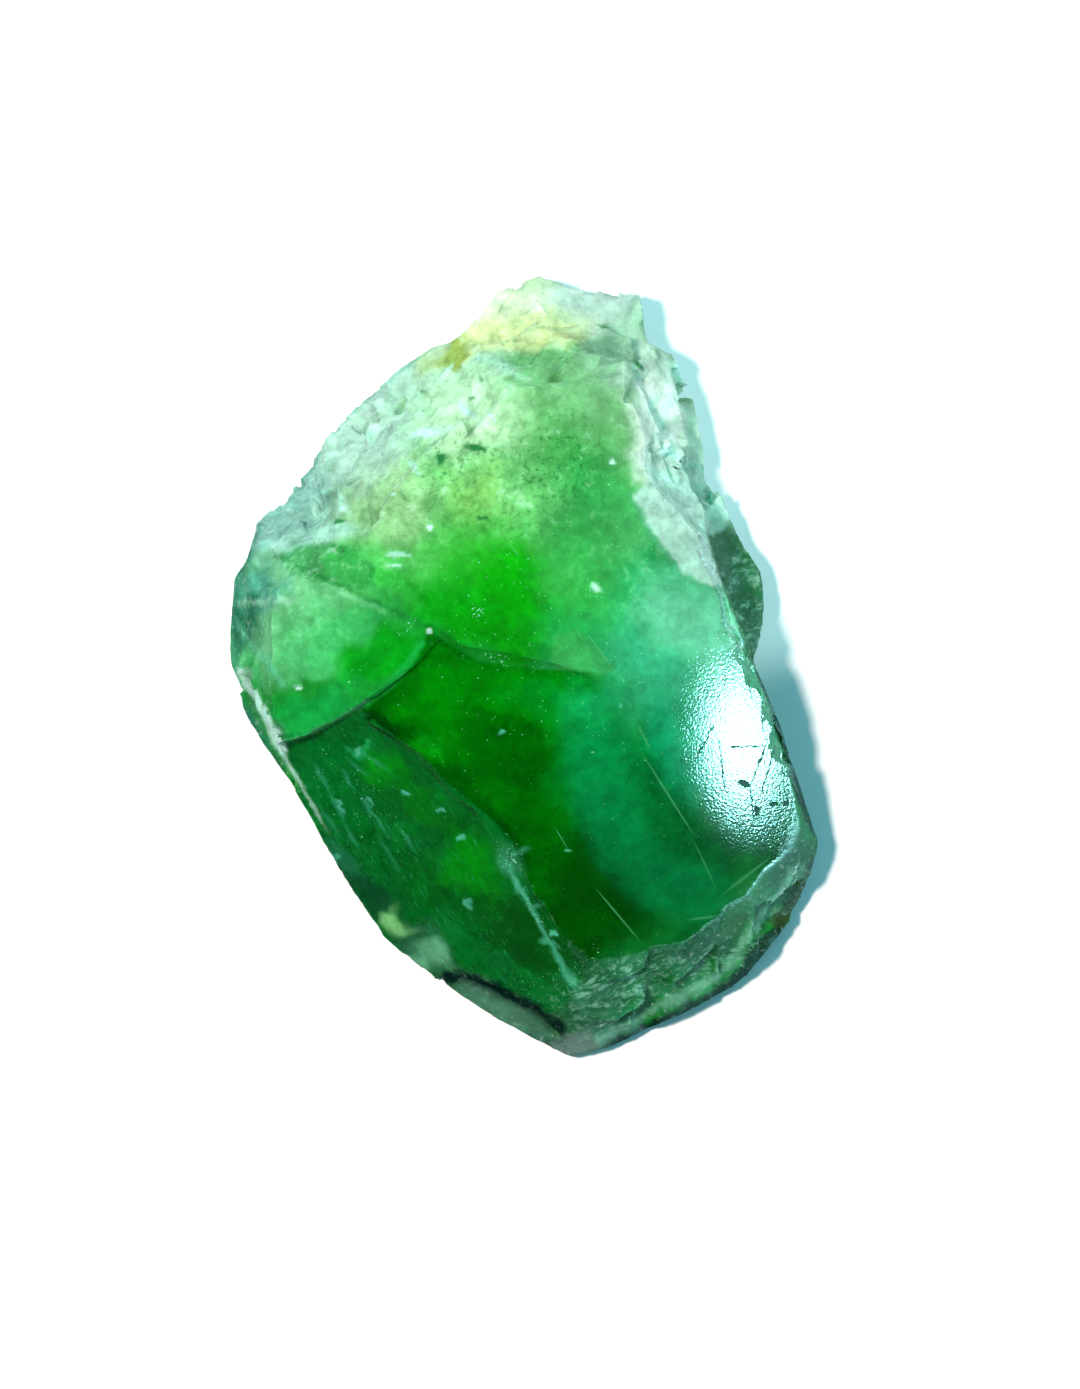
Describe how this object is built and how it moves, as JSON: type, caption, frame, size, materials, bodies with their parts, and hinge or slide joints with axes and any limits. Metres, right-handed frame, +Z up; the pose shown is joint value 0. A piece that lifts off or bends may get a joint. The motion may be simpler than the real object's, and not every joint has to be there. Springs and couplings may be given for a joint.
{
  "type": "fluorite specimen",
  "caption": "Rough fragment of translucent green fluorite with a smooth domed crown, cleaved and crumbly broken edges, and a flat cleavage face to rest on.",
  "frame": {"origin": "middle of the bounding box's underside, on the flat cleavage face that the fragment rests on", "axes": "+Z up out of the resting face, +Y along the fragment's length towards its pale broken rim, +X towards its glossy face"},
  "size_m": [0.0376, 0.05, 0.0155],
  "materials": {
    "fluorite": "translucent green mineral, glossy on its cleavage faces, frosted and milky on its broken rims"
  },
  "bodies": {
    "root": {"fluorite_crystal": "fluorite"}
  },
  "joints": []
}
